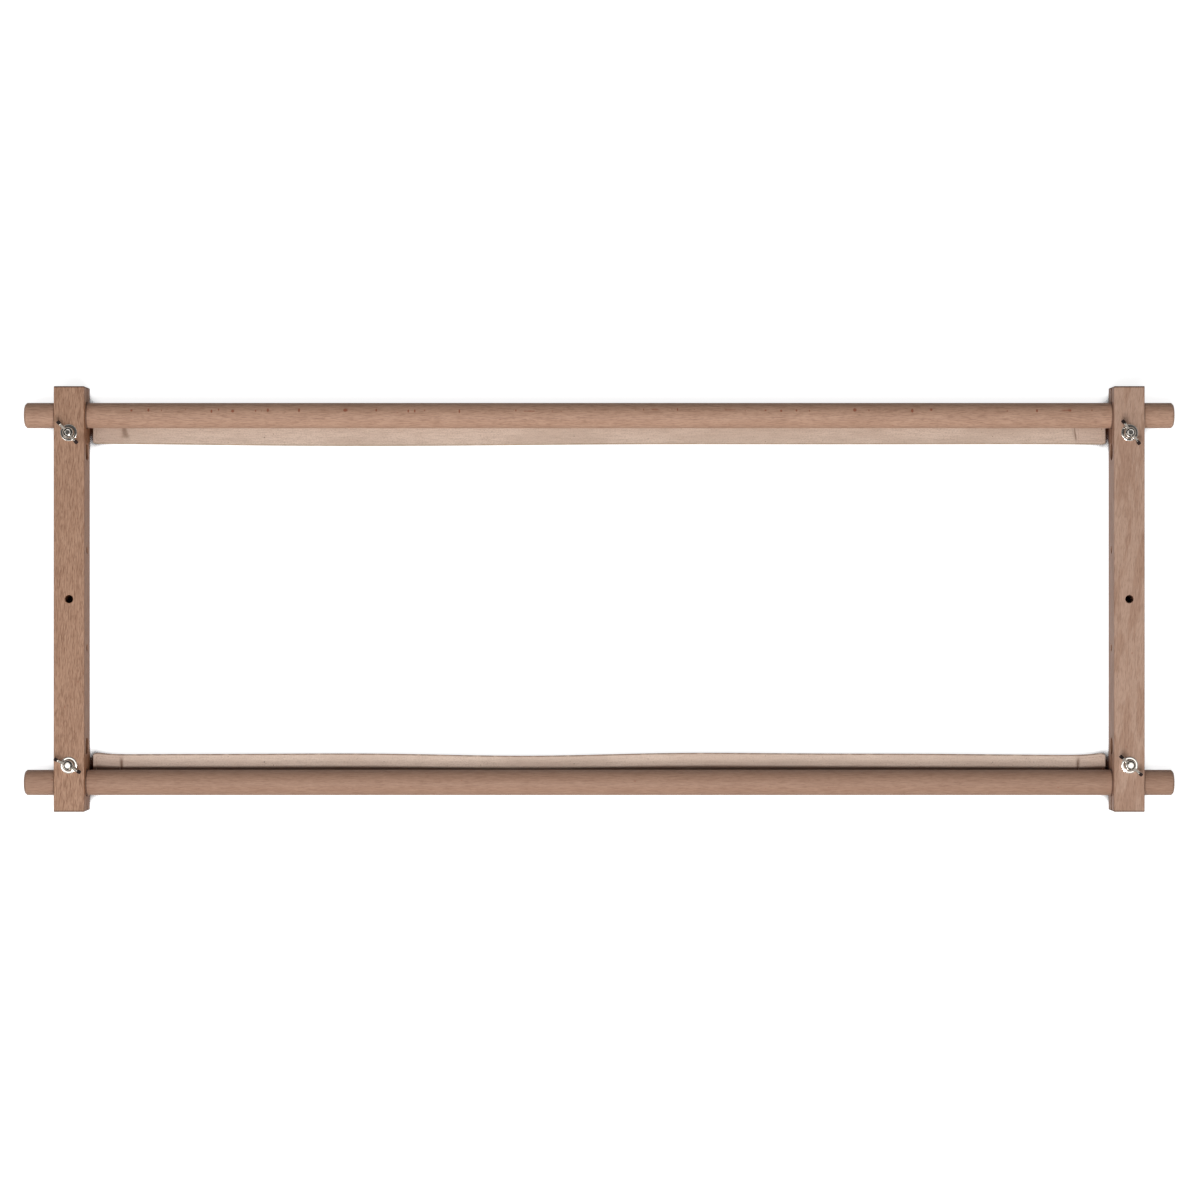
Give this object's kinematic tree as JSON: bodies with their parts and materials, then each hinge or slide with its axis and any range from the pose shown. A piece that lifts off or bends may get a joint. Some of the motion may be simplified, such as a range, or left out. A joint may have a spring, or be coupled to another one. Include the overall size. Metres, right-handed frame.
{
  "type": "rotating tapestry frame",
  "caption": "Wide roller embroidery frame: two wooden rollers with webbing turn in slotted side bars and are locked by wing nuts.",
  "frame": {"origin": "under the middle of the frame, on the surface that its four bolt heads lie on", "axes": "+X along the rollers, to the right in the picture; +Y along the side bars, up in the picture; +Z out of the front face, where the wing nuts are"},
  "size_m": [0.86, 0.3174, 0.0412],
  "materials": {
    "bar_beech": "planed and sanded beech, unvarnished",
    "roller_beech": "turned beech dowel, sanded, unvarnished",
    "cotton_webbing": "undyed woven cotton tape",
    "plated_steel": "bright zinc-plated steel",
    "cast_nut": "bright nickel-plated casting",
    "staple_wire": "galvanised wire"
  },
  "bodies": {
    "left_side": {"side_bar_left": "bar_beech", "clamp_bolt_top_left": "plated_steel", "clamp_bolt_bottom_left": "plated_steel"},
    "right_side": {"side_bar_right": "bar_beech", "clamp_bolt_top_right": "plated_steel", "clamp_bolt_bottom_right": "plated_steel"},
    "top_roller": {"roller_top": "roller_beech", "webbing_top": "cotton_webbing", "staples_top": "staple_wire"},
    "bottom_roller": {"roller_bottom": "roller_beech", "webbing_bottom": "cotton_webbing", "staples_bottom": "staple_wire"},
    "washer_top_left": {"washer_top_left": "plated_steel"},
    "wing_nut_top_left": {"wing_nut_top_left": "cast_nut"},
    "washer_top_right": {"washer_top_right": "plated_steel"},
    "wing_nut_top_right": {"wing_nut_top_right": "cast_nut"},
    "washer_bottom_left": {"washer_bottom_left": "plated_steel"},
    "wing_nut_bottom_left": {"wing_nut_bottom_left": "cast_nut"},
    "washer_bottom_right": {"washer_bottom_right": "plated_steel"},
    "wing_nut_bottom_right": {"wing_nut_bottom_right": "cast_nut"}
  },
  "joints": [
    {"name": "top_roller_turn", "type": "hinge", "parent": "left_side", "child": "top_roller", "pos_m": [0, 0.1375, 0.0172], "axis": [-1, 0, 0], "continuous": true},
    {"name": "bottom_roller_turn", "type": "hinge", "parent": "left_side", "child": "bottom_roller", "pos_m": [0, -0.1375, 0.0172], "axis": [1, 0, 0], "continuous": true},
    {"name": "right_side_slide", "type": "slide", "parent": "left_side", "child": "right_side", "axis": [1, 0, 0], "range_m": [-0.0024, 0.0215]},
    {"name": "washer_top_left_lift", "type": "slide", "parent": "left_side", "child": "washer_top_left", "axis": [0, 0, 1], "range_m": [0, 0.0033]},
    {"name": "wing_nut_top_left_turn", "type": "hinge", "parent": "washer_top_left", "child": "wing_nut_top_left", "pos_m": [-0.3953, 0.1239, 0.0312], "axis": [0, 0, 1], "range_deg": [0, 1440]},
    {"name": "washer_top_right_lift", "type": "slide", "parent": "right_side", "child": "washer_top_right", "axis": [0, 0, 1], "range_m": [0, 0.0033]},
    {"name": "wing_nut_top_right_turn", "type": "hinge", "parent": "washer_top_right", "child": "wing_nut_top_right", "pos_m": [0.3953, 0.1239, 0.0312], "axis": [0, 0, 1], "range_deg": [0, 1440]},
    {"name": "washer_bottom_left_lift", "type": "slide", "parent": "left_side", "child": "washer_bottom_left", "axis": [0, 0, 1], "range_m": [0, 0.0033]},
    {"name": "wing_nut_bottom_left_turn", "type": "hinge", "parent": "washer_bottom_left", "child": "wing_nut_bottom_left", "pos_m": [-0.3953, -0.1239, 0.0312], "axis": [0, 0, 1], "range_deg": [0, 1440]},
    {"name": "washer_bottom_right_lift", "type": "slide", "parent": "right_side", "child": "washer_bottom_right", "axis": [0, 0, 1], "range_m": [0, 0.0033]},
    {"name": "wing_nut_bottom_right_turn", "type": "hinge", "parent": "washer_bottom_right", "child": "wing_nut_bottom_right", "pos_m": [0.3953, -0.1239, 0.0312], "axis": [0, 0, 1], "range_deg": [0, 1440]}
  ],
  "couplings": [
    {"joint": "washer_top_left_lift", "follows": "wing_nut_top_left_turn", "m_per_rad": 0.00012732},
    {"joint": "washer_top_right_lift", "follows": "wing_nut_top_right_turn", "m_per_rad": 0.00012732},
    {"joint": "washer_bottom_left_lift", "follows": "wing_nut_bottom_left_turn", "m_per_rad": 0.00012732},
    {"joint": "washer_bottom_right_lift", "follows": "wing_nut_bottom_right_turn", "m_per_rad": 0.00012732}
  ]
}
